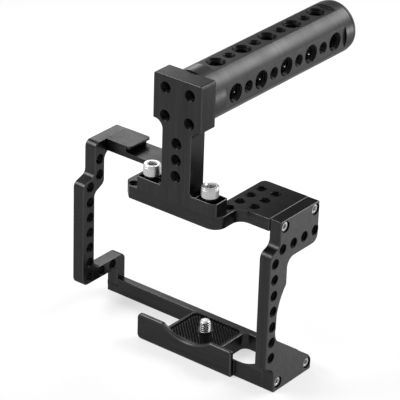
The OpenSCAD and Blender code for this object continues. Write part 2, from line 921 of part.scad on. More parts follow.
module handle_screw(side) {
    tip_z = top_z0 + handle_screw_tip;
    color("silver")
        translate([handle_x + side * handle_screw_span / 2, handle_screw_y, 0])
            difference() {
                union() {
                    translate([0, 0, tip_z])
                        rod(handle_screw_d, handle_head_z - tip_z);
                    translate([0, 0, handle_head_z])
                        rod(handle_head_d, handle_head_t - handle_head_edge);
                    translate([0, 0, handle_head_z + handle_head_t - handle_head_edge])
                        cylinder(h = handle_head_edge, r1 = handle_head_d / 2,
                                 r2 = handle_head_d / 2 - handle_head_edge);
                }
                translate([0, 0, handle_head_z + handle_head_t - handle_key_depth])
                    cylinder(h = handle_key_depth + cut, r = handle_key_w * hex_share, $fn = hex_sides);
            }
}

module handle_collar(side) {
    color("#202020")
        translate([handle_x + side * handle_screw_span / 2, handle_screw_y, post_z - pocket_depth])
            difference() {
                rod(collar_d, pocket_depth + collar_proud);
                translate([0, 0, -cut])
                    rod(handle_screw_d + 2 * running_fit, pocket_depth + collar_proud + 2 * cut);
            }
}

module handle_screw_left() {
    handle_screw(-1);
}

module handle_screw_right() {
    handle_screw(1);
}

module handle_collar_left() {
    handle_collar(-1);
}

module handle_collar_right() {
    handle_collar(1);
}

// Round bar of the grip with four flats milled between its round ends
module grip_body() {
    body_l = grip_l - cap_t;
    difference() {
        union() {
            rod_y(grip_d, body_l - grip_edge);
            translate([0, body_l - grip_edge, 0])
                rotate([-90, 0, 0])
                    cylinder(h = grip_edge, r1 = grip_d / 2, r2 = grip_d / 2 - grip_edge);
        }
        for (turn = [0 : 3])
            rotate([0, turn * quarter_turn, 0])
                translate([grip_flat / 2, grip_flat_y0 - grip_y0, -grip_d])
                    cube([grip_d, grip_flat_y1 - grip_flat_y0, 2 * grip_d]);
    }
}

// Crossed holes, large and small by turns, through all four flats
module grip_holes() {
    for (i = [0 : grip_hole_count - 1])
        for (turn = [0, 1])
            translate([0, grip_first_y + i * grip_pitch, 0])
                rotate([0, turn * quarter_turn, 0])
                    translate([0, 0, -grip_flat / 2])
                        if (i % 2 == 0)
                            through_hole(grip_large_d, grip_large_mouth_d, grip_flat);
                        else
                            through_hole(grip_small_d, grip_small_mouth_d, grip_flat);
}

module grip_tube() {
    color("#2d2e30")
        translate([handle_x, grip_y0, grip_z])
            difference() {
                grip_body();
                translate([0, grip_end_wall, 0])
                    rod_y(grip_bore_d, grip_l);
                translate([0, -cut, 0])
                    rod_y(grip_bolt_d + bolt_clearance, grip_end_wall + 2 * cut);
                grip_holes();
            }
}

module grip_bolt() {
    head_y = grip_y0 + grip_end_wall + grip_washer_t;
    color("silver")
        translate([handle_x, 0, grip_z])
            difference() {
                union() {
                    translate([0, grip_y0 - grip_bolt_reach, 0])
                        rod_y(grip_bolt_d, head_y - grip_y0 + grip_bolt_reach);
                    translate([0, head_y, 0])
                        rod_y(grip_bolt_head_d, grip_bolt_head_t);
                }
                translate([0, head_y + grip_bolt_head_t - grip_bolt_key_depth, 0])
                    rotate([-90, 0, 0])
                        cylinder(h = grip_bolt_key_depth + cut,
                                 r = grip_bolt_key_w * hex_share, $fn = hex_sides);
            }
}

module grip_bolt_washer() {
    color("silver")
        translate([handle_x, grip_y0 + grip_end_wall, grip_z])
            difference() {
                rod_y(grip_washer_d, grip_washer_t);
                translate([0, -cut, 0])
                    rod_y(grip_bolt_d + bolt_clearance, grip_washer_t + 2 * cut);
            }
}

// Plug that closes the far end of the grip
module grip_end_cap() {
    color("#1f1f20")
        translate([handle_x, grip_y1 - cap_t, grip_z])
            union() {
                rod_y(cap_d, cap_t - cap_edge);
                translate([0, cap_t - cap_edge, 0])
                    rotate([-90, 0, 0])
                        cylinder(h = cap_edge, r1 = cap_d / 2, r2 = cap_d / 2 - cap_edge);
                translate([0, -cap_spigot_l, 0])
                    rod_y(grip_bore_d - 2 * seat_fit, cap_spigot_l);
            }
}

base_plate();
base_pad();
camera_screw();
camera_screw_clip();
left_side_plate();
right_side_plate();
top_plate();
left_top_screw_front();
left_top_screw_rear();
left_base_screw();
right_top_screw_front();
right_top_screw_rear();
right_base_screw_front();
right_base_screw_rear();
handle_bracket();
handle_screw_left();
handle_screw_right();
handle_collar_left();
handle_collar_right();
grip_tube();
grip_bolt();
grip_bolt_washer();
grip_end_cap();
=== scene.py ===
"""Camera cage with a top handle: a milled frame, its screws, a rubber pad and a drilled grip.
Lengths are written in millimetres and times MM gives Blender's metres."""
import math

import bmesh
import bpy
from mathutils import Matrix, Vector


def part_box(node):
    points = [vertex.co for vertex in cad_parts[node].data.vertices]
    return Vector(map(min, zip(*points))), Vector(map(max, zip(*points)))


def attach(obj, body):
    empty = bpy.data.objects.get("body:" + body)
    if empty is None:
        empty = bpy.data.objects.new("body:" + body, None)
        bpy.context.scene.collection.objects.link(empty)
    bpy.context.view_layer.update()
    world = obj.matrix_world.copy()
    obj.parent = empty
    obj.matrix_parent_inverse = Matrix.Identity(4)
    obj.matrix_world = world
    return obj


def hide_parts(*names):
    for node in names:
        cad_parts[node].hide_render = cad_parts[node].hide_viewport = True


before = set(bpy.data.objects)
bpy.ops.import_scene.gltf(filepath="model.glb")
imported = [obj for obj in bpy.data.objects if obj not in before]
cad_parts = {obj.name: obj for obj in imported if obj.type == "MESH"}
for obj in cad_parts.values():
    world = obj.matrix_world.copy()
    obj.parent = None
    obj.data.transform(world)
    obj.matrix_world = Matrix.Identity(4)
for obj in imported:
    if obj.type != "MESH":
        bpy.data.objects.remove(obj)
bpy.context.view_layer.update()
scene = bpy.context.scene
MM = 0.001

# ---------------------------------------------------------------- view and light
# The camera stands at the right front, above the top plate, with a long lens.
# The floor and the sky are plain and pale, and soft lamps stand round the cage.
camera = bpy.data.objects.new("view_camera", bpy.data.cameras.new("view_camera"))
camera_right = Vector((0.7849, 0.6189, 0.0289))
camera_up = Vector((-0.3055, 0.3461, 0.8871))
camera_back = camera_right.cross(camera_up).normalized()
camera_up = camera_back.cross(camera_right).normalized()
camera_axes = Matrix((camera_right.normalized(), camera_up, camera_back)).transposed()
camera_place = Matrix.Translation(Vector((748.2, -974.2, 730.3)) * MM)
camera.matrix_world = camera_place @ camera_axes.to_4x4()
camera.data.lens = 214.3
camera.data.sensor_width = 36
camera.data.clip_start = 0.05
camera.data.clip_end = 20
scene.collection.objects.link(camera)
scene.camera = camera
scene.view_settings.view_transform = "Standard"


def new_material(name):
    """An empty node material, its nodes and its links."""
    material = bpy.data.materials.new(name)
    material.use_nodes = True
    material.node_tree.nodes.clear()
    return material, material.node_tree.nodes, material.node_tree.links


def seen_directly(nodes, links):
    """1 for camera, glossy and transmission rays, and 0 for the light that falls on the cage."""
    path = nodes.new("ShaderNodeLightPath")
    first = nodes.new("ShaderNodeMath")
    first.operation = "MAXIMUM"
    links.new(path.outputs["Is Camera Ray"], first.inputs[0])
    links.new(path.outputs["Is Glossy Ray"], first.inputs[1])
    second = nodes.new("ShaderNodeMath")
    second.operation = "MAXIMUM"
    links.new(first.outputs[0], second.inputs[0])
    links.new(path.outputs["Is Transmission Ray"], second.inputs[1])
    return second.outputs[0]


floor_mesh = bpy.data.meshes.new("floor")
floor_half = 3.0
floor_mesh.from_pydata(
    [(-floor_half, -floor_half, 0), (floor_half, -floor_half, 0),
     (floor_half, floor_half, 0), (-floor_half, floor_half, 0)], [], [(0, 1, 2, 3)])
floor = bpy.data.objects.new("floor", floor_mesh)
scene.collection.objects.link(floor)
floor_paper, nodes, links = new_material("floor_paper")
floor_shadow = nodes.new("ShaderNodeBsdfDiffuse")
floor_shadow.inputs["Color"].default_value = (0.42, 0.42, 0.42, 1)
floor_plain = nodes.new("ShaderNodeBsdfDiffuse")
floor_plain.inputs["Color"].default_value = (0.6, 0.6, 0.6, 1)
floor_glow = nodes.new("ShaderNodeEmission")
floor_glow.inputs["Strength"].default_value = 0.6
floor_sum = nodes.new("ShaderNodeAddShader")
floor_mix = nodes.new("ShaderNodeMixShader")
floor_out = nodes.new("ShaderNodeOutputMaterial")
links.new(floor_shadow.outputs[0], floor_sum.inputs[0])
links.new(floor_glow.outputs[0], floor_sum.inputs[1])
links.new(seen_directly(nodes, links), floor_mix.inputs["Fac"])
links.new(floor_plain.outputs[0], floor_mix.inputs[1])
links.new(floor_sum.outputs[0], floor_mix.inputs[2])
links.new(floor_mix.outputs[0], floor_out.inputs["Surface"])
floor_mesh.materials.append(floor_paper)

sky = bpy.data.worlds.new("studio_sky")
scene.world = sky
sky.use_nodes = True
nodes, links = sky.node_tree.nodes, sky.node_tree.links
nodes.clear()
sky_light = nodes.new("ShaderNodeBackground")
sky_light.inputs["Strength"].default_value = 0.45
sky_seen = nodes.new("ShaderNodeBackground")
sky_seen.inputs["Strength"].default_value = 1.0
sky_mix = nodes.new("ShaderNodeMixShader")
sky_out = nodes.new("ShaderNodeOutputWorld")
links.new(seen_directly(nodes, links), sky_mix.inputs["Fac"])
links.new(sky_light.outputs[0], sky_mix.inputs[1])
links.new(sky_seen.outputs[0], sky_mix.inputs[2])
links.new(sky_mix.outputs[0], sky_out.inputs["Surface"])


def soft_lamp(name, aim, turn, rise, reach, size, watts):
    """A soft box that looks at a point from a compass turn and a rise in degrees."""
    flat = math.cos(math.radians(rise))
    way = Vector((flat * math.cos(math.radians(turn)), flat * math.sin(math.radians(turn)),
                  math.sin(math.radians(rise))))
    lamp = bpy.data.lights.new(name, "AREA")
    lamp.shape = "RECTANGLE"
    lamp.size, lamp.size_y = size
    lamp.energy = watts
    stand = bpy.data.objects.new(name, lamp)
    stand.location = Vector(aim) * MM + way * reach
    stand.rotation_euler = way.to_track_quat("Z", "Y").to_euler()
    scene.collection.objects.link(stand)


soft_lamp("lamp_behind_left", (-85, 0, 110), 127.5, 27, 0.4, (0.12, 0.16), 0.36)
soft_lamp("lamp_behind_right", (16, 40, 172), 62, 36, 0.9, (0.6, 0.4), 5)
soft_lamp("lamp_front_left", (-10, -20, 90), -140, 43, 0.9, (0.5, 0.36), 5)
soft_lamp("lamp_right", (75, 0, 60), 50, 4, 0.6, (0.4, 0.12), 1.2)


# ---------------------------------------------------------------- base plate
# Milled from one bar of aluminium: rear rail, camera platform, lip with its lens hollow and
# floor window. Its edges are broken by a fine chamfer, painted a lighter black as a highlight,
# and the cutter's lines still show under the black anodising. The screw hole's wall is painted
# near black for the shade in it.
def merged(form):
    """Joins the corners and the flat faces that the CAD's triangles split."""
    same_spot = 2e-6
    same_plane = math.radians(0.06)
    bmesh.ops.remove_doubles(form, verts=form.verts, dist=same_spot)
    bmesh.ops.dissolve_limit(
        form, angle_limit=same_plane, verts=form.verts, edges=form.edges)


def chamfered(name, node, edge, holes, sharpest=28, keep=None, broad=None, dark=None):
    """A copy of a CAD node with its sharp edges broken by a narrow chamfer (material 1, in most
    callers a lighter black: a painted highlight), as wide as keep says from 0 to 1. The holes,
    each (axis, place, radius), keep sharp mouths, and their walls get material 2, as do the faces
    that
    dark picks: the callers make material 2 a near-black painted shade. Faces toward broad get
    material 3, which the side plates make a painted light.
    The first four limits are in millimetres, and the last two are cosines."""
    mouth_gap = 0.06
    near_mouth = 1
    long_line = 1.6
    short_line = 0.8
    square_on = 0.95
    hole_end = 0.9
    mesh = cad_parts[node].data.copy()
    mesh.name = name
    mesh.materials.clear()
    piece = bpy.data.objects.new(name, mesh)
    scene.collection.objects.link(piece)
    form = bmesh.new()
    form.from_mesh(mesh)
    merged(form)
    form.normal_update()

    def beside_hole(spot):
        """The distance from the nearest hole's mouth, and that hole's axis."""
        nearest = (1000, 0)
        for axis, place, radius in holes:
            off = Vector(spot) / MM - Vector(place)
            off[axis] = 0
            nearest = min(nearest, (off.length - radius, axis))
        return nearest

    def is_sharp(line):
        """True where two faces meet at more than the angle sharpest."""
        return len(line.link_faces) == 2 and line.calc_face_angle(0) > math.radians(sharpest)

    def room_along(line):
        """The smallest distance between an edge and a hole's mouth."""
        first, last = line.verts[0].co, line.verts[1].co
        count = max(2, math.ceil(line.calc_length() / MM))
        return min(beside_hole(first.lerp(last, k / count))[0] for k in range(count + 1))

    long_lines = {}
    for line in form.edges:
        is_long = line.calc_length() > long_line * MM
        if is_sharp(line) and is_long and room_along(line) < near_mouth:
            cuts = math.ceil(line.calc_length() / (short_line * MM)) - 1
            long_lines.setdefault(cuts, []).append(line)
    for cuts, lines in long_lines.items():
        bmesh.ops.subdivide_edges(form, edges=lines, cuts=cuts)
    bmesh.ops.triangulate(form, faces=form.faces, ngon_method="BEAUTY", quad_method="BEAUTY")
    form.normal_update()
    weight = form.edges.layers.float.new("bevel_weight_edge")
    for line in form.edges:
        middle = (line.verts[0].co + line.verts[1].co) / 2
        if is_sharp(line):
            room = min(1, max(0, (room_along(line) - mouth_gap) / (edge + 0.1)))
            line[weight] = min(room, 1 if keep is None else float(keep(middle / MM)))
    for face in form.faces:
        centre = face.calc_center_median()
        # Faces toward broad get material 3, which stands for light falling on that side: painted
        # light.
        takes_painted_light = broad and face.normal.dot(Vector(broad)) > square_on
        face.material_index = 3 if takes_painted_light else 0
        # Hole walls and the faces that dark picks get material 2: painted shade in the holes.
        room, axis = beside_hole(centre)
        is_wall = room < mouth_gap and abs(face.normal[axis]) < hole_end
        if is_wall or dark and dark(centre / MM):
            face.material_index = 2
    form.to_mesh(mesh)
    form.free()
    chamfer = piece.modifiers.new("chamfer", "BEVEL")
    chamfer.limit_method = "WEIGHT"
    chamfer.width = edge * MM
    chamfer.segments = 2
    chamfer.use_clamp_overlap = False
    chamfer.loop_slide = False
    chamfer.material = 1
    mesh.shade_smooth()
    return piece


def evened(mesh):
    """Gives a mesh steady normals: a flat region keeps its own right up to its edge, a chamfer
    (material 1) turns smoothly from one region to the next, and other sharp edges stay sharp.
    The three limits are cosines of the angle between two faces."""
    one_plane, over_chamfer, over_edge = 0.99999, 0.64, 0.86
    form = bmesh.new()
    form.from_mesh(mesh)
    form.faces.ensure_lookup_table()
    size = [0] * len(form.faces)
    for start in form.faces:
        if start.tag:
            continue
        start.tag = True
        region = [start]
        for face in region:
            for line in face.edges:
                for beside in line.link_faces:
                    if not beside.tag and beside.normal.dot(start.normal) > one_plane:
                        beside.tag = True
                        region.append(beside)
        total = sum(face.calc_area() for face in region)
        for face in region:
            size[face.index] = total
    normals = []
    for face in form.faces:
        for corner in face.verts:
            sum_normal = face.normal * size[face.index]
            for beside in corner.link_faces:
                soft = 1 in (face.material_index, beside.material_index)
                limit = over_chamfer if soft else over_edge
                if beside != face and beside.normal.dot(face.normal) > limit:
                    sum_normal = sum_normal + beside.normal * size[beside.index]
            normals.append(sum_normal.normalized())
    form.free()
    mesh.normals_split_custom_set(normals)


def settled(piece):
    """The piece as a plain mesh, its modifiers used up."""
    graph = bpy.context.evaluated_depsgraph_get()
    mesh = bpy.data.meshes.new_from_object(piece.evaluated_get(graph))
    piece.modifiers.clear()
    piece.data = mesh
    return piece


def effect_group(name, inputs, outputs):
    """A shader node group with float inputs (name, value) and outputs (name, kind)."""
    group = bpy.data.node_groups.new(name, "ShaderNodeTree")
    for title, value in inputs:
        socket = group.interface.new_socket(title, in_out="INPUT", socket_type="NodeSocketFloat")
        socket.default_value = value
    for title, kind in outputs:
        group.interface.new_socket(title, in_out="OUTPUT", socket_type=kind)
    return (group, group.nodes, group.links,
            group.nodes.new("NodeGroupInput"), group.nodes.new("NodeGroupOutput"))


# Fine lines left by the cutter, long along some axes and close together along the others.
milling, nodes, links, taken, given = effect_group(
    "milling_lines", [("X", 1.0), ("Y", 1.0), ("Z", 1.0), ("Fine", 2600.0), ("Broad", 500.0)],
    [("Lines", "NodeSocketFloat"), ("Patches", "NodeSocketFloat")])
spot = nodes.new("ShaderNodeTexCoord")
stretch = nodes.new("ShaderNodeCombineXYZ")
for axis in "XYZ":
    links.new(taken.outputs[axis], stretch.inputs[axis])
drawn = nodes.new("ShaderNodeVectorMath")
drawn.operation = "MULTIPLY"
links.new(spot.outputs["Object"], drawn.inputs[0])
links.new(stretch.outputs[0], drawn.inputs[1])
fine = nodes.new("ShaderNodeTexNoise")
fine.inputs["Detail"].default_value = 3
links.new(drawn.outputs[0], fine.inputs["Vector"])
links.new(taken.outputs["Fine"], fine.inputs["Scale"])
broad = nodes.new("ShaderNodeTexNoise")
broad.inputs["Detail"].default_value = 2
links.new(drawn.outputs[0], broad.inputs["Vector"])
links.new(taken.outputs["Broad"], broad.inputs["Scale"])
both = nodes.new("ShaderNodeMath")
both.operation = "MULTIPLY_ADD"
both.inputs[1].default_value = 0.5
links.new(broad.outputs["Fac"], both.inputs[0])
half = nodes.new("ShaderNodeMath")
half.operation = "MULTIPLY"
half.inputs[1].default_value = 0.5
links.new(fine.outputs["Fac"], half.inputs[0])
links.new(half.outputs[0], both.inputs[2])
cloud = nodes.new("ShaderNodeTexNoise")
cloud.inputs["Scale"].default_value = 55
cloud.inputs["Detail"].default_value = 4
links.new(spot.outputs["Object"], cloud.inputs["Vector"])
links.new(both.outputs[0], given.inputs["Lines"])
links.new(cloud.outputs["Fac"], given.inputs["Patches"])


def finished(name, colour, rough, lines, metal, spread=0.1, depth=0.004, tone=0.2,
             glance=0.58, shine=0.5):
    """A metal or plastic finish. lines says how long the cutter's lines are along X, Y and Z,
    glance how strongly it mirrors at a low angle, and shine how strongly plastic mirrors."""
    material, nodes, links = new_material(name)
    grain = nodes.new("ShaderNodeGroup")
    grain.node_tree = milling
    for axis, value in zip("XYZ", lines):
        grain.inputs[axis].default_value = value
    tint = nodes.new("ShaderNodeMapRange")
    tint.inputs["From Min"].default_value = 0.3
    tint.inputs["From Max"].default_value = 0.7
    tint.inputs["To Min"].default_value = colour * (1 - tone)
    tint.inputs["To Max"].default_value = colour * (1 + tone)
    links.new(grain.outputs["Lines"], tint.inputs["Value"])
    shade = nodes.new("ShaderNodeCombineColor")
    for channel in ("Red", "Green", "Blue"):
        links.new(tint.outputs[0], shade.inputs[channel])
    gloss = nodes.new("ShaderNodeMapRange")
    gloss.inputs["From Min"].default_value = 0.3
    gloss.inputs["From Max"].default_value = 0.7
    gloss.inputs["To Min"].default_value = rough - spread / 2
    gloss.inputs["To Max"].default_value = rough + spread / 2
    links.new(grain.outputs["Patches"], gloss.inputs["Value"])
    relief = nodes.new("ShaderNodeBump")
    relief.inputs["Strength"].default_value = 0.5
    relief.inputs["Distance"].default_value = depth * MM
    links.new(grain.outputs["Lines"], relief.inputs["Height"])
    finish = nodes.new("ShaderNodeBsdfPrincipled")
    finish.inputs["Metallic"].default_value = metal
    finish.inputs["Specular Tint"].default_value = (glance, glance, glance, 1)
    finish.inputs["Specular IOR Level"].default_value = shine
    links.new(shade.outputs[0], finish.inputs["Base Color"])
    links.new(gloss.outputs[0], finish.inputs["Roughness"])
    links.new(relief.outputs[0], finish.inputs["Normal"])
    out = nodes.new("ShaderNodeOutputMaterial")
    links.new(finish.outputs[0], out.inputs["Surface"])
    return material


def dressed(piece, body, materials, slot, *stands_for):
    """Gives a piece its materials and its body, and hides the CAD nodes that it stands for; slot
    is not used.
    """
    if len(piece.data.materials) > 0:
        piece.data.materials.clear()
    for material in materials:
        piece.data.materials.append(material)
    settled(piece)
    if len(materials) > 2:
        evened(piece.data)
    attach(piece, body)
    if stands_for:
        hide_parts(*stands_for)
    return piece


black_along_x = finished("black_along_x", 0.035, 0.34, (0.04, 1, 1), 1)
# The chamfers' black is lighter than the faces' black: a painted highlight along the broken
# edges.
black_edge_highlight = finished("black_edge_highlight", 0.065, 0.28, (0.5, 0.5, 0.5), 1, 0.06, 0.001, 0.1)
# The holes' black is near black: painted shade on the walls and countersinks of the holes.
hole_shade_black = finished("hole_shade_black", 0.007, 0.3, (1, 1, 1), 0.8, shine=0.3)
stud_x, stud_y = 12.3, -2.5
stud_hole = (2, (stud_x, stud_y, 0), 5.2)


def base_edges(spot):
    """0 on the rim of the pad's seat and where the lip's hollow runs out in a thin step, 1 on the
    lip's front edges, which are rounded wider, and less elsewhere."""
    seat = 9.4 < spot.z < 10.8 and -5.5 < spot.x < 30.1 and -17.9 < spot.y < 11.2
    thin_step = 10.3 < spot.z < 11.2 and -19.3 < spot.y < -18
    if seat or thin_step:
        return 0
    return 1 if spot.y < -21.4 else 0.5


base = chamfered("base_milled", "base_plate", 0.9, [stud_hole], keep=base_edges)
dressed(base, "cage", (black_along_x, black_edge_highlight, hole_shade_black), "cage_black", "base_plate")


# ---------------------------------------------------------------- camera pad
# A moulded rubber pad, pressed into a shallow seat, with slanting ribs that grip the camera.
# Its corners are round, a round hole in it clears the camera screw, and its grooves' walls are
# painted near black for the shade in them.
def modifier_value(modifier, title, value):
    """Sets one named input of a Geometry Nodes modifier."""
    for item in modifier.node_group.interface.items_tree:
        if item.item_type == "SOCKET" and item.in_out == "INPUT" and item.name == title:
            modifier[item.identifier] = value


ribbing = bpy.data.node_groups.new("ribbing", "GeometryNodeTree")
for title, way, kind in (
        ("Geometry", "INPUT", "NodeSocketGeometry"), ("Pitch", "INPUT", "NodeSocketFloat"),
        ("Groove", "INPUT", "NodeSocketFloat"), ("Top", "INPUT", "NodeSocketVector"),
        ("Slant", "INPUT", "NodeSocketFloat"), ("Count", "INPUT", "NodeSocketInt"),
        ("Finish", "INPUT", "NodeSocketMaterial"), ("Deep", "INPUT", "NodeSocketMaterial"),
        ("Geometry", "OUTPUT", "NodeSocketGeometry")):
    ribbing.interface.new_socket(title, in_out=way, socket_type=kind)
nodes, links = ribbing.nodes, ribbing.links
taken = nodes.new("NodeGroupInput")
given = nodes.new("NodeGroupOutput")
step = nodes.new("ShaderNodeCombineXYZ")
links.new(taken.outputs["Pitch"], step.inputs["Y"])
row = nodes.new("GeometryNodeMeshLine")
links.new(taken.outputs["Count"], row.inputs["Count"])
links.new(step.outputs[0], row.inputs["Offset"])
blade_size = nodes.new("ShaderNodeCombineXYZ")
blade_size.inputs["X"].default_value = 0.09
links.new(taken.outputs["Groove"], blade_size.inputs["Y"])
links.new(taken.outputs["Groove"], blade_size.inputs["Z"])
blade = nodes.new("GeometryNodeMeshCube")
links.new(blade_size.outputs[0], blade.inputs["Size"])
blades = nodes.new("GeometryNodeInstanceOnPoints")
blades.inputs["Rotation"].default_value = (math.pi / 4, 0, 0)
links.new(row.outputs[0], blades.inputs["Points"])
links.new(blade.outputs["Mesh"], blades.inputs["Instance"])
back = nodes.new("ShaderNodeMath")
back.operation = "MULTIPLY"
links.new(taken.outputs["Pitch"], back.inputs[0])
span = nodes.new("ShaderNodeMath")
span.operation = "MULTIPLY_ADD"
span.inputs[1].default_value = -0.5
span.inputs[2].default_value = 0.5
links.new(taken.outputs["Count"], span.inputs[0])
links.new(span.outputs[0], back.inputs[1])
shift = nodes.new("ShaderNodeCombineXYZ")
links.new(back.outputs[0], shift.inputs["Y"])
centred = nodes.new("GeometryNodeTransform")
links.new(blades.outputs[0], centred.inputs["Geometry"])
links.new(shift.outputs[0], centred.inputs["Translation"])
slanted = nodes.new("GeometryNodeTransform")
turn = nodes.new("ShaderNodeCombineXYZ")
links.new(taken.outputs["Slant"], turn.inputs["Z"])
links.new(centred.outputs[0], slanted.inputs["Geometry"])
links.new(turn.outputs[0], slanted.inputs["Rotation"])
links.new(taken.outputs["Top"], slanted.inputs["Translation"])
loose = nodes.new("GeometryNodeRealizeInstances")
links.new(slanted.outputs[0], loose.inputs[0])
cutting = nodes.new("GeometryNodeMeshBoolean")
cutting.operation = "DIFFERENCE"
links.new(taken.outputs["Geometry"], cutting.inputs["Mesh 1"])
links.new(loose.outputs[0], cutting.inputs["Mesh 2"])
coat = nodes.new("GeometryNodeSetMaterial")
links.new(cutting.outputs["Mesh"], coat.inputs["Geometry"])
links.new(taken.outputs["Finish"], coat.inputs["Material"])
# The groove walls, which face sideways, get the second rubber: painted shade in the grooves.
facing = nodes.new("GeometryNodeInputNormal")
upward = nodes.new("ShaderNodeSeparateXYZ")
links.new(facing.outputs[0], upward.inputs[0])
steep = nodes.new("FunctionNodeCompare")
steep.operation = "LESS_THAN"
steep.inputs["B"].default_value = 0.9
links.new(upward.outputs["Z"], steep.inputs["A"])
groove_shade_coat = nodes.new("GeometryNodeSetMaterial")
links.new(coat.outputs[0], groove_shade_coat.inputs["Geometry"])
links.new(steep.outputs[0], groove_shade_coat.inputs["Selection"])
links.new(taken.outputs["Deep"], groove_shade_coat.inputs["Material"])
links.new(groove_shade_coat.outputs[0], given.inputs[0])

pad_low, pad_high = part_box("base_pad")
pad_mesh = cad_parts["base_pad"].data.copy()
pad = bpy.data.objects.new("pad_ribbed", pad_mesh)
scene.collection.objects.link(pad)
form = bmesh.new()
form.from_mesh(pad_mesh)
merged(form)
form.to_mesh(pad_mesh)
form.free()
rubber = finished("rubber_black", 0.03, 0.6, (1, 1, 1), 0, 0.12, 0.02, shine=0.2)
# The second rubber is near black: painted shade for the pad's grooves.
rubber_groove_shade = finished("rubber_groove_shade", 0.004, 0.7, (1, 1, 1), 0, 0.1, 0.01, shine=0.05)
ribs = pad.modifiers.new("ribs", "NODES")
ribs.node_group = ribbing
modifier_value(ribs, "Pitch", 1.62 * MM)
modifier_value(ribs, "Groove", 0.6 * MM)
modifier_value(ribs, "Top", ((pad_low[0] + pad_high[0]) / 2, (pad_low[1] + pad_high[1]) / 2,
                             pad_high[2]))
modifier_value(ribs, "Slant", math.radians(-45))
modifier_value(ribs, "Count", 29)
modifier_value(ribs, "Finish", rubber)
modifier_value(ribs, "Deep", rubber_groove_shade)
settled(pad)
pad.data.shade_flat()
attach(pad, "cage")
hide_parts("base_pad")


# ---------------------------------------------------------------- camera screw and its clip
# A turned quarter inch screw of bright steel: slotted head below, rolled thread above the pad,
# whose roots are painted dark steel for the shade in them.
# A dark spring clip sits in a groove of the screw, so that it can't drop out of the base.
def turned(name, rings, sides, place=(0, 0, 0)):
    """A closed turned mesh. Each ring is (height, radius), the radius a number or a function of
    the angle, from the bottom pole to the top pole."""
    points = []
    faces = []
    for height, radius in rings:
        for i in range(sides):
            angle = 2 * math.pi * i / sides
            reach = radius(angle) if callable(radius) else radius
            points.append(((place[0] + reach * math.cos(angle)) * MM,
                           (place[1] + reach * math.sin(angle)) * MM, (place[2] + height) * MM))
    for k in range(len(rings) - 1):
        for i in range(sides):
            j = (i + 1) % sides
            faces.append((k * sides + i, k * sides + j, (k + 1) * sides + j, (k + 1) * sides + i))
    for k, height in ((0, rings[0][0]), (len(rings) - 1, rings[-1][0])):
        points.append((place[0] * MM, place[1] * MM, (place[2] + height) * MM))
        pole = len(points) - 1
        for i in range(sides):
            j = (i + 1) % sides
            faces.append((pole, k * sides + j, k * sides + i) if k == 0
                         else (pole, k * sides + i, k * sides + j))
    mesh = bpy.data.meshes.new(name)
    mesh.from_pydata(points, [], faces)
    mesh.shade_smooth()
    mesh.set_sharp_from_angle(angle=math.radians(38))
    piece = bpy.data.objects.new(name, mesh)
    scene.collection.objects.link(piece)
    return piece


def rolled(crest, root, pitch, height):
    """The radius of a thread at one height, as a function of the angle."""
    def radius(angle):
        """Between root and crest, by how far round the thread the angle is."""
        share = (height / pitch - angle / (2 * math.pi)) % 1
        ramp = min(1, max(0, 1.35 - 4 * abs(share - 0.5) * 0.9))
        return root + (crest - root) * ramp
    return radius


steel = finished("steel_bright", 0.5, 0.4, (1, 1, 0.06), 1, 0.1, 0.002, 0.06, 1)
dark_steel = finished("steel_dark", 0.04, 0.35, (1, 1, 0.2), 1)
thread_pitch = 1.27
thread_foot, thread_step, thread_rings = 9.2, 0.126, 61
stud_crest, stud_root = 3.17, 2.45
thread_end, shaded_root_reach = 16.9, 2.85
stud_rings = [(8.6, 2.4), (9, 2.5)]
for k in range(thread_rings):
    level = thread_foot + k * thread_step
    stud_rings.append((level, rolled(stud_crest, stud_root, thread_pitch, level)))
stud_rings += [(17, 2.85), (17.3, 2.72), (17.55, 2.4), (17.7, 2), (17.76, 1.5)]
stud = turned("camera_screw_thread", stud_rings, 40, (stud_x, stud_y, 0))
# Faces in the thread's roots get the dark steel: painted shade in the grooves.
for face in stud.data.polygons:
    reach = Vector((face.center.x / MM - stud_x, face.center.y / MM - stud_y)).length
    if face.center.z < thread_end * MM and reach < shaded_root_reach:
        face.material_index = 1
dressed(stud, "camera_screw_body", (steel, dark_steel), "screw_steel")
knob = turned("camera_screw_head", [
    (0.62, 6.6), (0.7, 6.8), (0.9, 6.98), (4.7, 6.98), (4.9, 6.8), (4.98, 6.6), (4.98, 2.8),
    (8.8, 2.8)], 64, (stud_x, stud_y, 0))
slot_box = bpy.data.objects.new("slot_box", bpy.data.meshes.new("slot_box"))
scene.collection.objects.link(slot_box)
form = bmesh.new()
bmesh.ops.create_cube(form, size=1)
form.transform(Matrix.Translation(Vector((stud_x, stud_y, 1.6)) * MM)
               @ Matrix.Diagonal((20 * MM, 1.8 * MM, 2 * MM, 1)))
form.to_mesh(slot_box.data)
form.free()
sawn = knob.modifiers.new("slot", "BOOLEAN")
sawn.object = slot_box
sawn.operation = "DIFFERENCE"
dressed(knob, "camera_screw_body", (steel,), "screw_steel", "camera_screw")
bpy.data.objects.remove(slot_box)
clip = chamfered("camera_screw_clip_ring", "camera_screw_clip", 0.12, [])
dressed(clip, "cage", (dark_steel, dark_steel, dark_steel), "dark_steel", "camera_screw_clip")


# ---------------------------------------------------------------- left side plate
# Cranked plate milled from 8 mm bar, with a foot arm and a column of quarter inch threads.
# Its rounded front is profile-milled, which leaves fine upright lines.
def repeated(name, proto, places, finish, seed=3):
    """One plain mesh of a small piece set at many places, each (point in mm, turn)."""
    spots = bpy.data.meshes.new(name)
    spots.from_pydata([tuple(Vector(point) * MM) for point, turn in places], [], [])
    turns = spots.attributes.new("turn", "FLOAT_VECTOR", "POINT")
    for item, (point, turn) in zip(turns.data, places):
        item.vector = turn
    piece = bpy.data.objects.new(name, spots)
    scene.collection.objects.link(piece)
    setting = piece.modifiers.new("setting", "NODES")
    setting.node_group = placing
    modifier_value(setting, "Piece", proto)
    modifier_value(setting, "Finish", finish)
    modifier_value(setting, "Seed", seed)
    settled(piece)
    bpy.data.objects.remove(proto)
    return piece


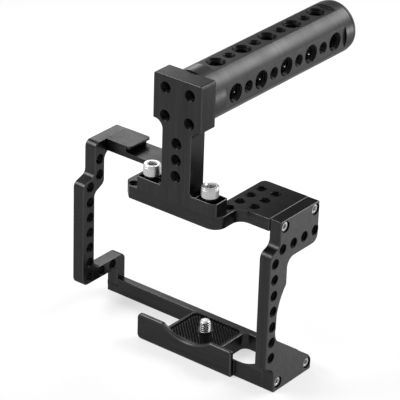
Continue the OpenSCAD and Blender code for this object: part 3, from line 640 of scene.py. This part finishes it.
placing = bpy.data.node_groups.new("placing", "GeometryNodeTree")
for title, way, kind in (
        ("Geometry", "INPUT", "NodeSocketGeometry"), ("Piece", "INPUT", "NodeSocketObject"),
        ("Finish", "INPUT", "NodeSocketMaterial"), ("Seed", "INPUT", "NodeSocketInt"),
        ("Geometry", "OUTPUT", "NodeSocketGeometry")):
    placing.interface.new_socket(title, in_out=way, socket_type=kind)
nodes, links = placing.nodes, placing.links
taken = nodes.new("NodeGroupInput")
given = nodes.new("NodeGroupOutput")
proto_info = nodes.new("GeometryNodeObjectInfo")
links.new(taken.outputs["Piece"], proto_info.inputs["Object"])
proto_turn = nodes.new("GeometryNodeInputNamedAttribute")
proto_turn.data_type = "FLOAT_VECTOR"
proto_turn.inputs["Name"].default_value = "turn"
setting_out = nodes.new("GeometryNodeInstanceOnPoints")
links.new(taken.outputs["Geometry"], setting_out.inputs["Points"])
links.new(proto_info.outputs["Geometry"], setting_out.inputs["Instance"])
as_turn = nodes.new("FunctionNodeEulerToRotation")
links.new(proto_turn.outputs[0], as_turn.inputs[0])
links.new(as_turn.outputs[0], setting_out.inputs["Rotation"])
any_spin = nodes.new("FunctionNodeRandomValue")
any_spin.data_type = "FLOAT"
any_spin.inputs[3].default_value = 2 * math.pi
links.new(taken.outputs["Seed"], any_spin.inputs["Seed"])
spin = nodes.new("ShaderNodeCombineXYZ")
links.new(any_spin.outputs[1], spin.inputs["Z"])
spun = nodes.new("GeometryNodeRotateInstances")
spun.inputs["Local Space"].default_value = True
links.new(setting_out.outputs[0], spun.inputs["Instances"])
links.new(spin.outputs[0], spun.inputs["Rotation"])
loose = nodes.new("GeometryNodeRealizeInstances")
links.new(spun.outputs[0], loose.inputs[0])
coat = nodes.new("GeometryNodeSetMaterial")
links.new(loose.outputs[0], coat.inputs["Geometry"])
links.new(taken.outputs["Finish"], coat.inputs["Material"])
links.new(coat.outputs[0], given.inputs[0])


def thread_ridge(radius, crest, pitch, start, end, sides=28):
    """The spiral ridge of a tapped hole along +Z, its root sunk a little in the hole's wall."""
    points = []
    faces = []
    count = round((end - start) / pitch * sides)
    half = pitch * 0.42
    for i in range(count + 1):
        angle = 2 * math.pi * i / sides
        height = start + half + (end - start - 2 * half) * i / count
        for reach, off in ((radius + 0.07, -half), (crest, -0.08), (crest, 0.08),
                           (radius + 0.07, half)):
            points.append((reach * math.cos(angle) * MM, reach * math.sin(angle) * MM,
                           (height + off) * MM))
    for i in range(count):
        for k in range(4):
            m = (k + 1) % 4
            faces.append((4 * i + k, 4 * i + m, 4 * i + 4 + m, 4 * i + 4 + k))
    faces.append((3, 2, 1, 0))
    last = 4 * count
    faces.append((last, last + 1, last + 2, last + 3))
    mesh = bpy.data.meshes.new("thread_ridge")
    mesh.from_pydata(points, [], faces)
    form = bmesh.new()
    form.from_mesh(mesh)
    bmesh.ops.recalc_face_normals(form, faces=form.faces)
    form.to_mesh(mesh)
    form.free()
    mesh.shade_smooth()
    mesh.set_sharp_from_angle(angle=math.radians(35))
    ridge = bpy.data.objects.new("thread_ridge", mesh)
    scene.collection.objects.link(ridge)
    return ridge


hole_pitch = 10.2
mouth = 3.3
tap = 2.8
tap_crest = 2.5
side_t = 8
inner_x = 67
outer_x = 75
toward_right = (0, math.pi / 2, 0)


def plate_thread():
    """The ridge of a quarter inch thread that goes right through an 8 mm plate."""
    lead_in = 0.6
    return thread_ridge(tap, tap_crest, thread_pitch, lead_in, side_t - lead_in)


left_holes = [(-15.2, 22.6 + i * hole_pitch) for i in range(7)]
left_holes += [(-6.85, 89.3 + i * hole_pitch) for i in range(2)]
left_holes += [(6.2 - i * hole_pitch, 22.6) for i in range(2)]
black_along_z = finished("black_along_z", 0.036, 0.3, (1, 1, 0.04), 1)
left_spots = [(3.4, 106.8), (14.45, 106.8), (14.7, 5.4)]
pocket = 3.45
# The outer faces' black is lighter than the rest: painted light for the lamp at their side. It is
# also rougher.
black_painted_sidelight = finished("black_painted_sidelight", 0.09, 0.46, (1, 1, 1), 1)
left_plate = chamfered("left_plate_milled", "left_side_plate", 0.45,
                       [(0, (-outer_x, y, z), mouth) for y, z in left_holes]
                       + [(0, (-outer_x, y, z), pocket) for y, z in left_spots],
                       broad=(-1, 0, 0))
dressed(left_plate, "cage", (black_along_z, black_edge_highlight, hole_shade_black, black_painted_sidelight), "cage_black",
        "left_side_plate")
# The threads' black is near black: painted shade inside the tapped holes.
thread_shade_black = finished("black_thread_shade", 0.01, 0.4, (1, 1, 1), 0.8, shine=0.3)
left_threads = repeated("left_plate_threads", plate_thread(),
                        [((-outer_x, y, z), toward_right) for y, z in left_holes], thread_shade_black)
dressed(left_threads, "cage", (thread_shade_black,), "cage_black")


# ---------------------------------------------------------------- right side plate
# Cranked plate milled from 8 mm bar, with a brace behind its foot and two rows of threads.
# Its outer face is rougher and painted a lighter black for the light from its side, a painted
# light, and a thumb scoop is milled into it.
right_holes = [(-22.2, 25.2 + i * hole_pitch) for i in range(7)]
right_holes += [((i - 1.5) * hole_pitch - 0.4, 93.3) for i in range(4)]
right_spots = [(y, z) for z in (106.8, 5.4) for y in (-13.95, 14.45)]


def clear_of_waist(spot):
    """False where the plate is so narrow that its holes nearly reach its rear edge."""
    return not (42 < spot.z < 51 and -19.6 < spot.y < -17.4)


right_plate = chamfered("right_plate_milled", "right_side_plate", 0.45,
                        [(0, (outer_x, y, z), mouth) for y, z in right_holes]
                        + [(0, (outer_x, y, z), pocket) for y, z in right_spots],
                        keep=clear_of_waist, broad=(1, 0, 0))
dressed(right_plate, "cage", (black_along_z, black_edge_highlight, hole_shade_black, black_painted_sidelight), "cage_black",
        "right_side_plate")
right_threads = repeated("right_plate_threads", plate_thread(),
                         [((inner_x, y, z), toward_right) for y, z in right_holes],
                         thread_shade_black, 5)
dressed(right_threads, "cage", (thread_shade_black,), "cage_black")


# ---------------------------------------------------------------- top plate
# One milled piece: handle seat, drilled right wing, thin bridge and raised head with its lip.
# The side plates are screwed to its ends, and the handle's foot sits flush on its seat.
top_z0, top_z1 = 103.1, 111.1
wing_holes = [(41.4, 7.8 - i * hole_pitch) for i in range(4)]
wing_holes += [(51.6, 7.8 - i * hole_pitch) for i in range(3)]
wing_holes.append((-17.4, -34.9))


def clear_of_foot(spot):
    """False on the edges that the handle's foot covers flush, at the bridge's root, and below
    the head's lip."""
    covered = spot.z > top_z1 - 0.1 and spot.y < -31 and -12.5 < spot.x < 43.7
    root = 105.5 < spot.z < 107.5 and -25 < spot.x < -22.5
    return not covered and not root and not below_lip(spot)


def below_lip(spot):
    """True in the undercut below the head's lip."""
    return -52.4 < spot.x < -48.7 and 106.5 < spot.z < 110.4 and spot.y < 18.3


# The faces below the head's lip get the near-black hole finish: painted shade in the undercut.
top = chamfered("top_plate_milled", "top_plate", 0.45,
                [(2, (x, y, top_z1), mouth) for x, y in wing_holes], keep=clear_of_foot,
                dark=lambda spot: below_lip(spot) and spot.z < 109.4)
dressed(top, "cage", (black_along_x, black_edge_highlight, hole_shade_black), "cage_black", "top_plate")
top_threads = repeated("top_plate_threads", plate_thread(),
                       [((x, y, top_z0), (0, 0, 0)) for x, y in wing_holes], thread_shade_black, 7)
dressed(top_threads, "cage", (thread_shade_black,), "cage_black")


# ---------------------------------------------------------------- corner screws
# Seven small bright socket screws that join the side plates to the base and the top plate.
# Each head is turned, with a broken rim and a pressed hexagon, and sits just below the face.
def hexagon(across):
    """The radius of a hexagon, by its width across flats, as a function of the angle."""
    def radius(angle):
        """Least at the middle of each flat, most at the corners."""
        return across / 2 / math.cos((angle + math.pi / 6) % (math.pi / 3) - math.pi / 6)
    return radius


def socket_screw(name, shank, length, head, tall, rim, key, key_depth, groove=0, sides=72):
    """A socket screw on the Z axis: its head's top at 0, its shank below."""
    rings = [(-tall - length, shank - 0.3), (-tall - length + 0.4, shank), (-tall, shank),
             (-tall, head - 0.15), (-tall + 0.15, head)]
    if groove:
        rings += [(-rim - 0.75, head), (-rim - 0.6, head - groove), (-rim - 0.45, head - groove),
                  (-rim - 0.3, head)]
    rings += [(-rim, head), (-rim * 0.6, head - rim * 0.12), (-rim * 0.29, head - rim * 0.29),
              (-rim * 0.08, head - rim * 0.62), (0, head - rim)]
    brim = key / 2 * 1.25
    rings += [(0, brim), (-0.12 * key, hexagon(key)), (-key_depth, hexagon(key)),
              (-key_depth - 0.18 * key, 0.2)]
    return turned(name, rings, sides)


screw_top = 74.2
toward_left = (0, -math.pi / 2, 0)
for side, x, turn, spots, seed, stands_for in (
        ("right", screw_top, toward_right, right_spots, 11,
         ("right_top_screw_front", "right_top_screw_rear",
          "right_base_screw_front", "right_base_screw_rear")),
        ("left", -screw_top, toward_left, left_spots, 13,
         ("left_top_screw_front", "left_top_screw_rear", "left_base_screw"))):
    small_screw = socket_screw("corner_screw", shank=1.5, length=12, head=3, tall=3, rim=0.45,
                               key=2.75, key_depth=1.6)
    screws = repeated(side + "_corner_screws", small_screw,
                      [((x, y, z), turn) for y, z in spots], steel, seed)
    dressed(screws, "cage", (steel,), "screw_steel", *stands_for)


# ---------------------------------------------------------------- handle bracket
# Milled foot, post and head block in one piece of aluminium, anodised black.
# Two large screws in its foot's pockets hold it down on the top plate's seat.
handle_x = 15.7
post_front = -39.4
post_holes = [(handle_x, 127.9 + i * hole_pitch) for i in range(3)]
block_holes = [(handle_x + side * 8.55, z) for side in (-1, 1) for z in (163.1, 180.2)]
bracket = chamfered("bracket_milled", "handle_bracket", 0.45,
                    [(1, (x, post_front, z), 3.6) for x, z in post_holes + block_holes],
                    keep=lambda spot: spot.z > top_z1 + 0.1)
dressed(bracket, "cage", (black_along_z, black_edge_highlight, hole_shade_black), "handle_black",
        "handle_bracket")
into_post = (-math.pi / 2, 0, 0)
thread_start = 0.9
for title, holes, end, seed in (
        ("post_threads", post_holes, 11.7, 17), ("block_threads", block_holes, 8, 19)):
    ridge = thread_ridge(tap, tap_crest, thread_pitch, thread_start, end)
    threads = repeated(title, ridge, [((x, post_front, z), into_post) for x, z in holes],
                       thread_shade_black, seed)
    dressed(threads, "cage", (thread_shade_black,), "handle_black")


# ---------------------------------------------------------------- handle screws and collars
# Two large bright socket screws, turned from steel, hold the bracket down.
# Each turns on a dark collar in its pocket.
screw_off = 20.8
screw_y = -34.2
screw_head_z = 127.5
for side, name in ((-1, "handle_screw_left"), (1, "handle_screw_right")):
    screw = socket_screw(name + "_turned", shank=3, length=17.1, head=5.15, tall=6.3, rim=0.75,
                         key=5, key_depth=3, groove=0.16, sides=96)
    screw_place = Vector((handle_x + side * screw_off, screw_y, screw_head_z))
    screw.data.transform(Matrix.Translation(screw_place * MM))
    dressed(screw, name + "_body", (steel,), "screw_steel", name)
for name in ("handle_collar_left", "handle_collar_right"):
    collar = chamfered(name + "_turned", name, 0.2, [])
    dressed(collar, "cage", (dark_steel, dark_steel, dark_steel), "dark_steel", name)


# ---------------------------------------------------------------- grip
# Turned tube with four milled flats, drilled through with large and small threads by turns.
# It is bolted to the back of the head block, and a moulded cap closes its far end.
grip_z = 172.4
flat_reach = 14.7
first_hole = -5.6
hole_step = 11.93
large_holes = [first_hole + i * hole_step for i in range(0, 9, 2)]
small_holes = [first_hole + i * hole_step for i in range(1, 9, 2)]
grip_holes = [(axis, (handle_x, y, grip_z), reach) for axis in (0, 2)
              for rows, reach in ((large_holes, 5.8), (small_holes, 3.8)) for y in rows]
black_turned = finished("black_turned", 0.055, 0.36, (0.06, 1, 0.06), 1, tone=0.12)
grip = chamfered("grip_milled", "grip_tube", 0.15, grip_holes, 18)
# The flats' chamfers get a darker black than the tube: a painted shade line along their edges.
dressed(grip, "cage", (black_turned, black_along_z, hole_shade_black), "handle_black", "grip_tube")
four_ways = [(Vector((0, 0, 1)), (math.pi, 0, 0)), (Vector((0, 0, -1)), (0, 0, 0)),
             (Vector((1, 0, 0)), (0, -math.pi / 2, 0)), (Vector((-1, 0, 0)), (0, math.pi / 2, 0))]
for title, rows, reach, crest, pitch, start, seed in (
        ("grip_large_threads", large_holes, 4.9, 4.45, 1.4, 0.95, 23),
        ("grip_small_threads", small_holes, 2.9, 2.55, 1.1, 0.95, 29)):
    ridge = thread_ridge(reach, crest, pitch, start, 3.5)
    threads = repeated(
        title, ridge,
        [(Vector((handle_x, y, grip_z)) + way * flat_reach, turn) for y in rows
         for way, turn in four_ways], thread_shade_black, seed)
    dressed(threads, "cage", (thread_shade_black,), "handle_black")
cap_black = finished("plastic_black", 0.022, 0.45, (1, 1, 1), 0, 0.1, 0.01)
cap = chamfered("grip_cap_moulded", "grip_end_cap", 0.3, [])
dressed(cap, "cage", (cap_black, cap_black, cap_black), "cap_plastic", "grip_end_cap")


# ---------------------------------------------------------------- grip bolt
# A dark steel bolt and its washer, both turned, deep in the grip's bore.
# They pull the grip against the head block.
for name in ("grip_bolt", "grip_bolt_washer"):
    bolt = chamfered(name + "_turned", name, 0.2, [])
    dressed(bolt, "cage", (dark_steel, dark_steel, dark_steel), "dark_steel", name)
